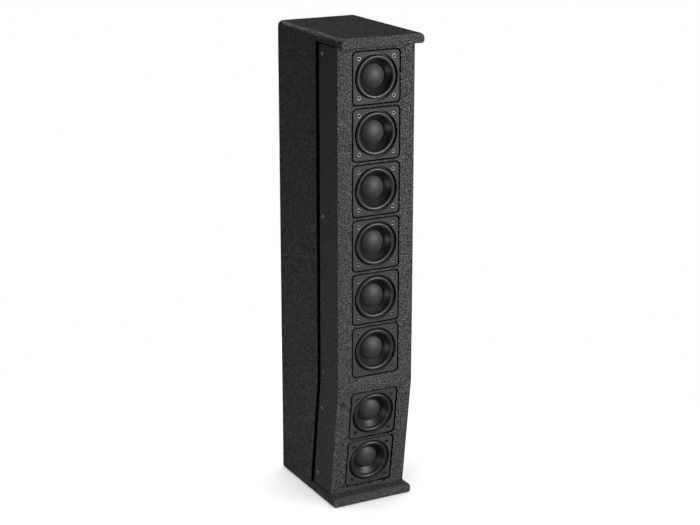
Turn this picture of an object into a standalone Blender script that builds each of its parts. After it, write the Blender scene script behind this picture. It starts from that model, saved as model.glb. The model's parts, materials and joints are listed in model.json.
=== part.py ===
"""A column loudspeaker: a tall plywood cabinet with eight small full-range drivers.

Six drivers stand in a straight line on the upper baffle and two more on a lower baffle that
leans back, so that they aim slightly down. The end plates reach past the baffles. The front
of each side panel is set in, with a slot behind the step, where a folded grille would hook in.
Each diaphragm slides along its driver's axis.

Metres, +Z up, front towards -Y, origin at the middle of the footprint on the floor.
"""

import math

import bmesh
import bpy
from mathutils import Matrix, Vector

# Overall sizes
WIDTH = 0.142
DEPTH = 0.226
HEIGHT = 0.766
BASE_DEPTH = 0.198

# Cabinet boards
PLATE = 0.016  # top and bottom panel, with their coating
BOARD = 0.015  # sides, back and baffles
BRACE = 0.009
INSET = 0.0038  # how far the front of each side panel is set in
OVERHANG = 0.022  # top panel past the upper baffle
EDGE_RADIUS = 0.009
GAP = 0.0003  # between pieces that touch

# Lines of the cabinet in the side view
BACK_Y = DEPTH / 2
FRONT_Y = -DEPTH / 2
BAFFLE_Y = FRONT_Y + OVERHANG
BASE_FRONT_Y = BACK_Y - BASE_DEPTH
KINK_Z = 0.200  # where the baffle starts to lean back
LEAN = math.radians(8)
STEP_BEHIND_BAFFLE = 0.0645  # the step between set-in front and full-width rear
SLOT_WIDTH = 0.0022
SLOT_DEPTH = 0.006
LOW_Z = PLATE + GAP
HIGH_Z = HEIGHT - PLATE - GAP
INSERT_X = WIDTH / 2 - INSET
INNER_X = WIDTH / 2 - BOARD
BETWEEN_X = INNER_X - GAP  # half width of what stands between the side panels

# Drivers
DRIVER_SIDE = 0.080
DRIVER_PITCH = 0.0875
TOP_DRIVER_Z = 0.700
UPPER_DRIVERS = 6
LOWER_DRIVERS = 2
FIRST_BELOW_KINK = 0.048
FLANGE = 0.0026
FLANGE_CORNER = 0.006
POCKET_CLEARANCE = 0.0012
POCKET_DEPTH = 0.0031
MOUTH_RADIUS = 0.0363
BASKET_RADIUS = 0.0376
CUTOUT_RADIUS = 0.0388
ROUND = 16  # sides of a turned driver piece
COIL_FREE = 0.0006

# Rear connector panel
PANEL_Z = 0.120
PANEL_SIZE = (0.096, 0.066)
PANEL_THICK = 0.002
PANEL_POCKET = 0.0055
PANEL_LEDGE = 0.008
SOCKET_X = 0.022
SOCKET_FLANGE = (0.026, 0.031)
SOCKET_LIP = 0.002
SOCKET_RADIUS = 0.0135
SOCKET_BORE = 0.0108
SOCKET_CORE = 0.0042
SOCKET_LENGTH = 0.026
SOCKET_FLOOR = 0.004

# Crossover
CROSSOVER_Z = 0.300
CROSSOVER_SIZE = (0.084, 0.110)
CROSSOVER_THICK = 0.0016
STANDOFF = 0.008

SCREW_HEAD = 0.0032
SCREW_SHANK = 0.0015
SCREW_LENGTH = 0.008
SCREW_HEAD_HEIGHT = 0.0015
SCREW_BEHIND_BAFFLE = 0.048
SCREW_HEIGHTS = (0.735, 0.479, 0.220)  # on the straight part
SCREW_BELOW_KINK = (0.050, 0.170)  # along the leaning part

MATERIALS = {
    "coating": ((0.030, 0.030, 0.030), 0.45, 0.0),
    "plywood": ((0.60, 0.43, 0.26), 0.70, 0.0),
    "frame_steel": ((0.045, 0.045, 0.045), 0.50, 0.3),
    "rubber": ((0.015, 0.015, 0.015), 0.60, 0.0),
    "cone_paper": ((0.025, 0.025, 0.025), 0.75, 0.0),
    "ferrite": ((0.06, 0.06, 0.065), 0.55, 0.4),
    "socket_plastic": ((0.02, 0.02, 0.022), 0.40, 0.0),
    "panel_metal": ((0.04, 0.04, 0.04), 0.40, 0.6),
    "circuit_board": ((0.02, 0.10, 0.04), 0.50, 0.0),
    "copper": ((0.72, 0.36, 0.18), 0.35, 1.0),
    "foam": ((0.05, 0.05, 0.055), 0.95, 0.0),
    "cable": ((0.03, 0.03, 0.03), 0.55, 0.0),
    "screw_steel": ((0.35, 0.35, 0.35), 0.35, 1.0),
}


def clear_scene():
    for obj in list(bpy.data.objects):
        bpy.data.objects.remove(obj, do_unlink=True)


def material(name):
    """The Principled material of that name, made once."""
    found = bpy.data.materials.get(name)
    if found:
        return found
    colour, roughness, metallic = MATERIALS[name]
    made = bpy.data.materials.new(name)
    made.use_nodes = True
    shader = made.node_tree.nodes["Principled BSDF"]
    shader.inputs["Base Color"].default_value = (*colour, 1)
    shader.inputs["Roughness"].default_value = roughness
    shader.inputs["Metallic"].default_value = metallic
    return made


def add_object(name, bm, finish, smooth_angle=None):
    """Turns a bmesh into an object with one material."""
    bmesh.ops.recalc_face_normals(bm, faces=bm.faces)
    mesh = bpy.data.meshes.new(name)
    bm.to_mesh(mesh)
    bm.free()
    mesh.materials.append(material(finish))
    if smooth_angle:
        mesh.shade_smooth()
        mesh.set_sharp_from_angle(angle=smooth_angle)
    obj = bpy.data.objects.new(name, mesh)
    bpy.context.scene.collection.objects.link(obj)
    return obj


def as_cutter(obj):
    obj.hide_render = True
    obj.display_type = "WIRE"
    return obj


def boolean(obj, other, operation="DIFFERENCE"):
    modifier = obj.modifiers.new(operation.lower(), "BOOLEAN")
    modifier.operation = operation
    modifier.object = other


def box_bmesh(low, high):
    bm = bmesh.new()
    size = Vector(high) - Vector(low)
    place = Matrix.Translation((Vector(low) + Vector(high)) / 2) @ Matrix.Diagonal((*size, 1))
    bmesh.ops.create_cube(bm, size=1, matrix=place)
    return bm


def prism_bmesh(outline, thickness):
    """Extrudes a closed outline of (x, y) points from z = 0 to the given thickness."""
    bm = bmesh.new()
    face = bm.faces.new([bm.verts.new((x, y, 0)) for x, y in outline])
    made = bmesh.ops.extrude_face_region(bm, geom=[face])["geom"]
    moved = [item for item in made if isinstance(item, bmesh.types.BMVert)]
    bmesh.ops.translate(bm, verts=moved, vec=(0, 0, thickness))
    return bm


def side_prism(outline, x_from, x_to):
    """Extrudes a side-view outline of (y, z) points along X."""
    bm = prism_bmesh(outline, x_to - x_from)
    turn = Matrix(((0, 0, 1, x_from), (1, 0, 0, 0), (0, 1, 0, 0), (0, 0, 0, 1)))
    bmesh.ops.transform(bm, matrix=turn, verts=bm.verts)
    return bm


def rounded_rectangle(width, height, radius, steps=2):
    """Points of a rectangle with round corners, centred on the origin."""
    points = []
    for corner in range(4):
        cx = (width / 2 - radius) * (1 if corner in (0, 3) else -1)
        cy = (height / 2 - radius) * (1 if corner < 2 else -1)
        for step in range(steps + 1):
            angle = math.pi / 2 * (corner + step / steps)
            points.append((cx + radius * math.cos(angle), cy + radius * math.sin(angle)))
    return points


def turned_bmesh(profile, sides):
    """Spins a closed profile of (radius, depth) points about the Z axis, depth along +Z."""
    bm = bmesh.new()
    rings = []
    for radius, depth in profile:
        if radius == 0:
            rings.append([bm.verts.new((0, 0, depth))])
            continue
        turns = [2 * math.pi * (i + 0.5) / sides for i in range(sides)]
        rings.append([bm.verts.new((radius * math.cos(a), radius * math.sin(a), depth)) for a in turns])
    for k, ring in enumerate(rings):
        following = rings[(k + 1) % len(rings)]
        for i in range(sides):
            j = (i + 1) % sides
            corners = [ring[i % len(ring)], ring[j % len(ring)]]
            corners += [following[j % len(following)], following[i % len(following)]]
            corners = list(dict.fromkeys(corners))
            if len(corners) > 2:
                bm.faces.new(corners)
    return bm


def cylinder_bmesh(radius, low, high, sides):
    return turned_bmesh([(0, low), (radius, low), (radius, high), (0, high)], sides)


def driver_places():
    """For each driver, a matrix whose +Z runs back into the cabinet from the baffle's face."""
    back = Matrix.Rotation(-math.pi / 2, 4, "X")
    places = []
    for i in range(UPPER_DRIVERS):
        centre = Vector((0, BAFFLE_Y, TOP_DRIVER_Z - i * DRIVER_PITCH))
        places.append(Matrix.Translation(centre) @ back)
    for i in range(LOWER_DRIVERS):
        along = FIRST_BELOW_KINK + i * DRIVER_PITCH
        centre = Vector((0, BAFFLE_Y + along * math.sin(LEAN), KINK_Z - along * math.cos(LEAN)))
        places.append(Matrix.Translation(centre) @ Matrix.Rotation(LEAN, 4, "X") @ back)
    return places


# ---------------------------------------------------------------- cabinet


def lean_y(z, behind=0.0):
    """Y of the line that runs a set distance behind the baffle's face, at height z."""
    straight = BAFFLE_Y + behind
    turn_z = KINK_Z + behind * math.tan(LEAN / 2)
    return straight + max(0.0, turn_z - z) * math.tan(LEAN)


def front_outline(behind_front, behind_back):
    """Side-view outline between two lines that follow the baffle at set distances."""
    outline = []
    for behind, upwards in ((behind_front, True), (behind_back, False)):
        turn_z = KINK_Z + behind * math.tan(LEAN / 2)
        line = [(lean_y(z, behind), z) for z in (0, turn_z, HEIGHT)]
        outline += line if upwards else line[::-1]
    return outline


def end_slot_outline(front, end_z, into):
    """Side-view outline of the slot that runs forward from the step beside an end plate."""
    near = end_z - into * SLOT_WIDTH
    far = end_z + into * SLOT_WIDTH
    behind = STEP_BEHIND_BAFFLE - SLOT_WIDTH / 2
    outline = [(lean_y(z, front), z) for z in (near, far)]
    return outline + [(lean_y(z, behind), z) for z in (far, near)]


def rounded_plate(name, y_front, z_low, z_high, outer_up):
    """An end plate whose outer edges are rounded along the sides and the back."""
    bm = box_bmesh((-WIDTH / 2, y_front, z_low), (WIDTH / 2, BACK_Y, z_high))
    outer_z = z_high if outer_up else z_low
    outer = []
    for edge in bm.edges:
        a, b = (v.co for v in edge.verts)
        at_outer = abs(a.z - outer_z) < GAP and abs(b.z - outer_z) < GAP
        at_back = abs(a.y - BACK_Y) < GAP and abs(b.y - BACK_Y) < GAP
        along_y = abs(a.y - b.y) > GAP
        upright_back = at_back and abs(a.z - b.z) > GAP
        if (at_outer and (along_y or at_back)) or upright_back:
            outer.append(edge)
    bmesh.ops.bevel(bm, geom=outer, offset=EDGE_RADIUS, segments=4, profile=0.5, affect="EDGES")
    return add_object(name, bm, "coating", math.radians(40))


def side_panel(name, side):
    """A side panel: full thickness at the rear, set in at the front, with a slot at the step."""
    whole = [(BACK_Y, HIGH_Z), (BACK_Y, LOW_Z)]
    whole += [(lean_y(z), z) for z in (LOW_Z, KINK_Z, HIGH_Z)]
    bm = side_prism(whole, side * INNER_X, side * WIDTH / 2)
    edges = [
        e for e in bm.edges
        if all(abs(v.co.y - BACK_Y) < GAP and abs(abs(v.co.x) - WIDTH / 2) < GAP for v in e.verts)
    ]
    bmesh.ops.bevel(bm, geom=edges, offset=EDGE_RADIUS, segments=4, profile=0.5, affect="EDGES")
    panel = add_object(name, bm, "coating", math.radians(40))
    floor_x = INSERT_X - SLOT_DEPTH
    front = -OVERHANG
    cuts = (
        ("step", front_outline(front, STEP_BEHIND_BAFFLE), INSERT_X),
        ("slot", front_outline(STEP_BEHIND_BAFFLE - SLOT_WIDTH, STEP_BEHIND_BAFFLE), floor_x),
        ("top_slot", end_slot_outline(front, HIGH_Z, -1), floor_x),
        ("bottom_slot", end_slot_outline(front, LOW_Z, 1), floor_x),
    )
    for kind, outline, from_x in cuts:
        bm = side_prism(outline, side * from_x, side * WIDTH)
        boolean(panel, as_cutter(add_object(f"{name}_{kind}", bm, "coating")))
    return panel


def upper_baffle():
    mitre = BOARD * math.tan(LEAN / 2)
    inner_y = BAFFLE_Y + BOARD
    outline = [(BAFFLE_Y, KINK_Z), (inner_y, KINK_Z + mitre), (inner_y, HIGH_Z), (BAFFLE_Y, HIGH_Z)]
    return add_object("upper_baffle", side_prism(outline, -BETWEEN_X, BETWEEN_X), "coating")


def lower_baffle():
    mitre = BOARD * math.tan(LEAN / 2)
    thick_y = BOARD / math.cos(LEAN)
    foot_y = lean_y(LOW_Z)
    outline = [
        (BAFFLE_Y, KINK_Z - GAP),
        (BAFFLE_Y + BOARD, KINK_Z + mitre - GAP),
        (foot_y + thick_y, LOW_Z),
        (foot_y, LOW_Z),
    ]
    return add_object("lower_baffle", side_prism(outline, -BETWEEN_X, BETWEEN_X), "coating")


def cut_driver_seats(baffle, places):
    """Routes the square pocket and the round cut-out of each driver into a baffle."""
    side = DRIVER_SIDE + 2 * POCKET_CLEARANCE
    outline = rounded_rectangle(side, side, FLANGE_CORNER + POCKET_CLEARANCE)
    for n, place in places:
        pocket = prism_bmesh(outline, POCKET_DEPTH + 0.004)
        bmesh.ops.translate(pocket, verts=pocket.verts, vec=(0, 0, -0.004))
        hole = cylinder_bmesh(CUTOUT_RADIUS, -0.002, 2 * BOARD, 20)
        for kind, bm in (("pocket", pocket), ("cutout", hole)):
            cutter = add_object(f"driver_{n}_{kind}", bm, "coating")
            cutter.matrix_world = place
            boolean(baffle, as_cutter(cutter))


def rear_panel():
    low = (-BETWEEN_X, BACK_Y - BOARD, LOW_Z)
    panel = add_object("rear_panel", box_bmesh(low, (BETWEEN_X, BACK_Y, HIGH_Z)), "coating")
    width, height = PANEL_SIZE
    steps = (
        ("pocket", GAP, PANEL_POCKET),
        ("window", -PANEL_LEDGE, BOARD + 0.005),
    )
    for kind, wider, depth in steps:
        half = (width / 2 + wider, height / 2 + wider)
        low = (-half[0], BACK_Y - depth, PANEL_Z - half[1])
        bm = box_bmesh(low, (half[0], BACK_Y + 0.005, PANEL_Z + half[1]))
        boolean(panel, as_cutter(add_object("rear_" + kind, bm, "coating")))
    return panel


def cross_brace():
    """A window brace between the third and fourth driver."""
    middle = TOP_DRIVER_Z - 2.5 * DRIVER_PITCH
    front = BAFFLE_Y + BOARD + GAP
    back = BACK_Y - BOARD - GAP
    bm = box_bmesh((-BETWEEN_X, front, middle - BRACE / 2), (BETWEEN_X, back, middle + BRACE / 2))
    brace = add_object("cross_brace", bm, "plywood")
    hole_radius = 0.033
    for k, share in enumerate((0.27, 0.73)):
        hole = cylinder_bmesh(hole_radius, -BRACE, BRACE, 20)
        cutter = add_object(f"brace_hole_{k}", hole, "plywood")
        cutter.location = (0, front + share * (back - front), middle)
        boolean(brace, as_cutter(cutter))
    return brace


def side_screws():
    """Pan-head screws through the set-in part of each side panel, with their pilot holes."""
    places = [(BAFFLE_Y + SCREW_BEHIND_BAFFLE, z) for z in SCREW_HEIGHTS]
    for along in SCREW_BELOW_KINK:
        y = BAFFLE_Y + along * math.sin(LEAN) + SCREW_BEHIND_BAFFLE * math.cos(LEAN)
        z = KINK_Z - along * math.cos(LEAN) + SCREW_BEHIND_BAFFLE * math.sin(LEAN)
        places.append((y, z))
    profile = [
        (0, -SCREW_HEAD_HEIGHT), (SCREW_HEAD * 0.75, -SCREW_HEAD_HEIGHT), (SCREW_HEAD, 0),
        (SCREW_SHANK, 0), (SCREW_SHANK, SCREW_LENGTH), (0, SCREW_LENGTH + SCREW_SHANK),
    ]
    for side, word in ((-1, "left"), (1, "right")):
        panel = bpy.data.objects[f"side_panel_{word}"]
        for n, (y, z) in enumerate(places, 1):
            screw = add_object(f"side_screw_{word}_{n}", turned_bmesh(profile, 8), "screw_steel", 0.6)
            screw.location = (side * (INSERT_X + GAP), y, z)
            screw.rotation_euler = (0, -side * math.pi / 2, 0)
            bore = cylinder_bmesh(SCREW_SHANK + GAP, -SCREW_HEAD, SCREW_LENGTH + 2 * SCREW_SHANK, 8)
            pilot = as_cutter(add_object(f"pilot_{word}_{n}", bore, "coating"))
            pilot.location = screw.location
            pilot.rotation_euler = screw.rotation_euler
            boolean(panel, pilot)


# ---------------------------------------------------------------- drivers

# (radius, depth behind the frame's face) of the turned pieces
SURROUND_PROFILE = [
    (0.0359, 0.0029), (0.0359, 0.0014), (0.0338, 0.0000),
    (0.0306, 0.0000), (0.0284, 0.0020), (0.0284, 0.0029),
]
DIAPHRAGM_PROFILE = [
    (0, 0.0048), (0.0110, 0.0063), (0.0195, 0.0115),  # dust cap
    (0.0280, 0.0032), (0.0280, 0.0042), (0.0134, 0.0180),  # cone
    (0.0134, 0.0275), (0.0126, 0.0275), (0.0126, 0.0140), (0.0100, 0.0080), (0, 0.0064),  # coil former
]
MOTOR_PROFILE = [
    (0, 0.0215), (0.0126 - COIL_FREE, 0.0215), (0.0126 - COIL_FREE, 0.0340),
    (0.0134 + COIL_FREE, 0.0340), (0.0134 + COIL_FREE, 0.0220), (0.0310, 0.0220),
    (0.0310, 0.0440), (0, 0.0440),
]
BASKET_INNER = [
    (0.0366, 0.0013), (0.0366, 0.0032), (0.0340, 0.0032),
    (0.0330, 0.0050), (0.0285, 0.0192), (0.0150, 0.0202),
]
BASKET_OUTER = [
    (BASKET_RADIUS, 0.0013), (BASKET_RADIUS, 0.0050), (0.0350, 0.0066),
    (0.0300, 0.0217), (0.0150, 0.0217),
]
WINDOW_SIDES = 2  # of each four sides round the basket, how many are open


def basket_bmesh():
    """The basket behind the flange: a turned shell whose sloping wall has four open windows."""
    bm = bmesh.new()
    turns = [2 * math.pi * (i + 0.5) / ROUND for i in range(ROUND)]

    def ring(radius, depth):
        return [bm.verts.new((radius * math.cos(a), radius * math.sin(a), depth)) for a in turns]

    inner = [ring(*point) for point in BASKET_INNER]
    outer = [ring(*point) for point in BASKET_OUTER]
    wall_inner = (inner[3], inner[4])
    wall_outer = (outer[2], outer[3])

    def is_open(i):
        return i % 4 < WINDOW_SIDES

    for k in range(ROUND):
        j = (k + 1) % ROUND
        for rings, wall in ((inner, wall_inner), (outer, wall_outer)):
            for a, b in zip(rings, rings[1:]):
                if not ((a, b) == wall and is_open(k)):
                    bm.faces.new((a[k], a[j], b[j], b[k]))
        bm.faces.new((inner[0][k], inner[0][j], outer[0][j], outer[0][k]))
        bm.faces.new((inner[-1][k], inner[-1][j], outer[-1][j], outer[-1][k]))
        if is_open(k):
            for near, far in zip(wall_inner, wall_outer):
                bm.faces.new((near[k], near[j], far[j], far[k]))
        if is_open(k) != is_open((k - 1) % ROUND):
            bm.faces.new((wall_inner[0][k], wall_inner[1][k], wall_outer[1][k], wall_outer[0][k]))
    return bm


def flange_bmesh():
    """The square flange with its round mouth."""
    bm = bmesh.new()
    outline = rounded_rectangle(DRIVER_SIDE, DRIVER_SIDE, FLANGE_CORNER)
    mouth = [
        (MOUTH_RADIUS * math.cos(a), MOUTH_RADIUS * math.sin(a))
        for a in (2 * math.pi * (i + 0.5) / ROUND for i in range(ROUND))
    ]
    edges = []
    for loop in (outline, mouth):
        verts = [bm.verts.new((x, y, 0)) for x, y in loop]
        edges += [bm.edges.new(pair) for pair in zip(verts, verts[1:] + verts[:1])]
    bmesh.ops.triangle_fill(bm, edges=edges, use_beauty=True)
    made = bmesh.ops.extrude_face_region(bm, geom=bm.faces[:])["geom"]
    moved = [item for item in made if isinstance(item, bmesh.types.BMVert)]
    bmesh.ops.translate(bm, verts=moved, vec=(0, 0, FLANGE))
    return bm


def driver(n, place):
    """One driver: frame with basket, motor, surround and the sliding diaphragm."""
    axis = bpy.data.objects.new(f"driver_{n}_axis", None)
    bpy.context.scene.collection.objects.link(axis)
    axis.matrix_world = place
    sink = POCKET_DEPTH - FLANGE - GAP  # how far the flange's face lies below the baffle's
    frame = add_object(f"driver_{n}_frame", flange_bmesh(), "frame_steel")
    basket = as_cutter(add_object(f"driver_{n}_basket", basket_bmesh(), "frame_steel"))
    boolean(frame, basket, "UNION")
    pieces = [frame, basket]
    turned = (
        ("surround", SURROUND_PROFILE, "rubber"),
        ("diaphragm", DIAPHRAGM_PROFILE, "cone_paper"),
        ("motor", MOTOR_PROFILE, "ferrite"),
    )
    for kind, profile, finish in turned:
        bm = turned_bmesh(profile, ROUND)
        pieces.append(add_object(f"driver_{n}_{kind}", bm, finish, math.radians(35)))
    for piece in pieces:
        piece.parent = axis
        piece.location = (0, 0, sink)


# ---------------------------------------------------------------- inside and rear


def connector_panel():
    """The metal plate in the rear pocket, with a round hole for each socket."""
    width, height = PANEL_SIZE
    floor_y = BACK_Y - PANEL_POCKET + GAP
    low = (-width / 2, floor_y, PANEL_Z - height / 2)
    high = (width / 2, floor_y + PANEL_THICK, PANEL_Z + height / 2)
    plate = add_object("connector_panel", box_bmesh(low, high), "panel_metal")
    for k, x in enumerate((-SOCKET_X, SOCKET_X)):
        bore = cylinder_bmesh(SOCKET_RADIUS + GAP, -PANEL_POCKET, PANEL_POCKET, 20)
        cutter = as_cutter(add_object(f"panel_hole_{k}", bore, "panel_metal"))
        cutter.location = (x, floor_y, PANEL_Z)
        cutter.rotation_euler = (math.pi / 2, 0, 0)
        boolean(plate, cutter)


def speaker_socket(name, x):
    """A round twist-lock socket: flange, barrel, open annular mouth and a central core."""
    face_y = BACK_Y - PANEL_POCKET + PANEL_THICK + 2 * GAP + SOCKET_LIP
    outline = rounded_rectangle(*SOCKET_FLANGE, 0.003)
    socket = add_object(name, prism_bmesh(outline, SOCKET_LIP), "socket_plastic", math.radians(40))
    length = SOCKET_LENGTH
    tube = cylinder_bmesh(SOCKET_RADIUS, SOCKET_LIP / 2, length, 20)
    mouth_end = length - SOCKET_FLOOR
    mouth = turned_bmesh(
        [(SOCKET_CORE, 0.001), (SOCKET_CORE, mouth_end), (SOCKET_BORE, mouth_end), (SOCKET_BORE, -0.002),
         (0, -0.002), (0, 0.001)], 20,
    )
    barrel = as_cutter(add_object(name + "_barrel", tube, "socket_plastic"))
    cavity = as_cutter(add_object(name + "_mouth", mouth, "socket_plastic"))
    boolean(socket, barrel, "UNION")
    boolean(socket, cavity)
    for piece in (socket, barrel, cavity):
        piece.location = (x, face_y, PANEL_Z)
        piece.rotation_euler = (math.pi / 2, 0, 0)


def crossover():
    """The filter board on its standoffs, with a coil and a capacitor."""
    width, height = CROSSOVER_SIZE
    wall = BACK_Y - BOARD - GAP
    board_y = wall - STANDOFF
    low = (-width / 2, board_y - CROSSOVER_THICK, CROSSOVER_Z - height / 2)
    board = add_object(
        "crossover_board", box_bmesh(low, (width / 2, board_y, CROSSOVER_Z + height / 2)), "circuit_board"
    )
    foot_in = 0.007
    k = 0
    for sx in (-1, 1):
        for sz in (-1, 1):
            k += 1
            length = STANDOFF + CROSSOVER_THICK + 0.001
            post = cylinder_bmesh(0.003, 0, length, 8)
            leg = as_cutter(add_object(f"crossover_standoff_{k}", post, "circuit_board"))
            leg.location = (sx * (width / 2 - foot_in), wall, CROSSOVER_Z + sz * (height / 2 - foot_in))
            leg.rotation_euler = (math.pi / 2, 0, 0)
            boolean(board, leg, "UNION")
    face = board_y - CROSSOVER_THICK - GAP
    coil_profile = [(0.0070, 0), (0.0180, 0), (0.0180, 0.0140), (0.0070, 0.0140)]
    coil = add_object("crossover_inductor", turned_bmesh(coil_profile, 20), "copper", 0.6)
    can_profile = [(0, 0), (0.0085, 0), (0.0090, 0.0010), (0.0090, 0.0300), (0.0085, 0.0310), (0, 0.0310)]
    can = add_object("crossover_capacitor", turned_bmesh(can_profile, 14), "socket_plastic", 0.6)
    for piece, x, z in ((coil, -0.012, 0.018), (can, 0.014, -0.028)):
        piece.location = (x, face, CROSSOVER_Z + z)
        piece.rotation_euler = (math.pi / 2, 0, 0)


def damping_mat():
    wall = BACK_Y - BOARD - GAP
    thick = 0.022
    low = (-0.052, wall - thick, 0.500)
    bm = box_bmesh(low, (0.052, wall, 0.735))
    uprights = [e for e in bm.edges if all(abs(v.co.y - wall) > GAP for v in e.verts)]
    bmesh.ops.bevel(bm, geom=uprights, offset=0.006, segments=2, profile=0.5, affect="EDGES")
    add_object("damping_mat", bm, "foam", math.radians(50))


def smooth_route(points, count):
    """Evenly numbered points on a Catmull-Rom curve through the route's points."""
    ends = [2 * points[0] - points[1]] + points + [2 * points[-1] - points[-2]]
    route = []
    spans = len(points) - 1
    for k in range(count + 1):
        at = k / count * spans
        i = min(int(at), spans - 1)
        t = at - i
        a, b, c, d = ends[i : i + 4]
        bend = (2 * a - 5 * b + 4 * c - d) * t**2 + (3 * b - a - 3 * c + d) * t**3
        route.append(0.5 * (2 * b + (c - a) * t + bend))
    return route


def cable(name, points, radius, count):
    curve = bpy.data.curves.new(name, "CURVE")
    curve.dimensions = "3D"
    curve.bevel_depth = radius
    curve.bevel_resolution = 1
    curve.use_fill_caps = True
    spline = curve.splines.new("POLY")
    route = smooth_route([Vector(p) for p in points], count)
    spline.points.add(len(route) - 1)
    for slot, place in zip(spline.points, route):
        slot.co = (*place, 1)
    curve.materials.append(material("cable"))
    obj = bpy.data.objects.new(name, curve)
    bpy.context.scene.collection.objects.link(obj)


def wiring():
    """The input cable from the sockets to the filter, and the loom that feeds the drivers."""
    socket_end = BACK_Y - PANEL_POCKET + PANEL_THICK + SOCKET_LIP - SOCKET_LENGTH
    board_face = BACK_Y - BOARD - STANDOFF - CROSSOVER_THICK
    input_route = [
        (-SOCKET_X, socket_end - 0.002, PANEL_Z), (-SOCKET_X, socket_end - 0.016, PANEL_Z + 0.006),
        (-0.030, 0.052, 0.160), (-0.034, 0.050, 0.205),
        (-0.031, board_face - 0.018, 0.240), (-0.030, board_face - 0.004, 0.262),
    ]
    cable("input_cable", input_route, 0.0025, 16)
    loom_route = [
        (0.034, board_face - 0.004, 0.335), (0.036, board_face - 0.018, 0.352), (0.034, 0.040, 0.385),
        (0.020, 0.030, 0.430), (0.008, 0.028, 0.481), (0.012, 0.022, 0.540),
        (0.018, 0.014, 0.610), (0.016, 0.006, 0.668), (0.006, -0.006, 0.694), (0, -0.036, 0.700),
    ]
    cable("driver_loom", loom_route, 0.0025, 34)


def main():
    clear_scene()
    places = list(enumerate(driver_places(), 1))
    rounded_plate("top_panel", FRONT_Y, HEIGHT - PLATE, HEIGHT, outer_up=True)
    rounded_plate("bottom_panel", BASE_FRONT_Y, 0, PLATE, outer_up=False)
    side_panel("side_panel_left", -1)
    side_panel("side_panel_right", 1)
    rear_panel()
    cut_driver_seats(upper_baffle(), places[:UPPER_DRIVERS])
    cut_driver_seats(lower_baffle(), places[UPPER_DRIVERS:])
    cross_brace()
    side_screws()
    for n, place in places:
        driver(n, place)
    connector_panel()
    speaker_socket("speaker_socket_in", -SOCKET_X)
    speaker_socket("speaker_socket_link", SOCKET_X)
    crossover()
    damping_mat()
    wiring()


main()
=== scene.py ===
"""Looks of the column loudspeaker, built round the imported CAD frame."""

import json
import math

import bmesh
import bpy
from mathutils import Matrix, Vector


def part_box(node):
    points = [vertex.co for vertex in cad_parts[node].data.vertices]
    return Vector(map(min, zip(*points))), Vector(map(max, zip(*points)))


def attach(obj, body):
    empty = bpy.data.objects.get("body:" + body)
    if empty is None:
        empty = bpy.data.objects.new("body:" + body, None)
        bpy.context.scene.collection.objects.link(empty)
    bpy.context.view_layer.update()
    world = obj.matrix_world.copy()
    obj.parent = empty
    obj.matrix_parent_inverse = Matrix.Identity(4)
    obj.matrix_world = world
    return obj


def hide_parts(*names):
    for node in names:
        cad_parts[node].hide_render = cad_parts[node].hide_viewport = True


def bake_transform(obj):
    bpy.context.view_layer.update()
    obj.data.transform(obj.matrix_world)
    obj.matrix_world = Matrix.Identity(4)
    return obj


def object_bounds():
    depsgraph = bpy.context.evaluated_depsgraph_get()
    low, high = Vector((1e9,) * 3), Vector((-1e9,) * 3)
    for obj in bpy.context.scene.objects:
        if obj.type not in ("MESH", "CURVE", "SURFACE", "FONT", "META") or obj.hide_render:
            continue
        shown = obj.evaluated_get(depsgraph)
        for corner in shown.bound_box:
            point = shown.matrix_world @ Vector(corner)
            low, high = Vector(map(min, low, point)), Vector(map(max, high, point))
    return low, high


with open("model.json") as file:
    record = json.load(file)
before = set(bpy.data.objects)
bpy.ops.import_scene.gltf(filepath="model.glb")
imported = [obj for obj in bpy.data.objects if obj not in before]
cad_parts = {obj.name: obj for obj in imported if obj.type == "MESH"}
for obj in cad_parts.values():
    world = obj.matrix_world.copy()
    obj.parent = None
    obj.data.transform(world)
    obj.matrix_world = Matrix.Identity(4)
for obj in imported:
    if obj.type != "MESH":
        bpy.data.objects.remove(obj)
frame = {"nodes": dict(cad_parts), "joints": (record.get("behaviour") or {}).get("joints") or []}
cad_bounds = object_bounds()

NODES = frame["nodes"]
JOINTS = {j["name"]: j for j in frame["joints"]}
DRIVERS = range(1, 9)
UPPER_DRIVERS, LOWER_DRIVERS = range(1, 7), range(7, 9)
CORNERS = [(sx, sy) for sx in (-1, 1) for sy in (-1, 1)]

# ---------------------------------------------------------------- lines read from the CAD

LOW, HIGH = cad_bounds
HALF_WIDTH = HIGH.x
BACK = HIGH.y
TOP_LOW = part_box("top_panel")[0].z
BASE_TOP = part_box("bottom_panel")[1].z
BASE_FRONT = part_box("bottom_panel")[0].y
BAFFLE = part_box("upper_baffle")[0].y
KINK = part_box("upper_baffle")[0].z
OUTWARD_LOW = Vector(JOINTS["driver_7_stroke"]["axis"]).normalized()
LEAN = math.asin(-OUTWARD_LOW.z)
PANEL_GAP = 0.0003  # parts the boards in the CAD; the looks close it
BOARD = HALF_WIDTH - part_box("upper_baffle")[1].x - PANEL_GAP
INNER = HALF_WIDTH - BOARD

# ---------------------------------------------------------------- sizes of the cabinet

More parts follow.
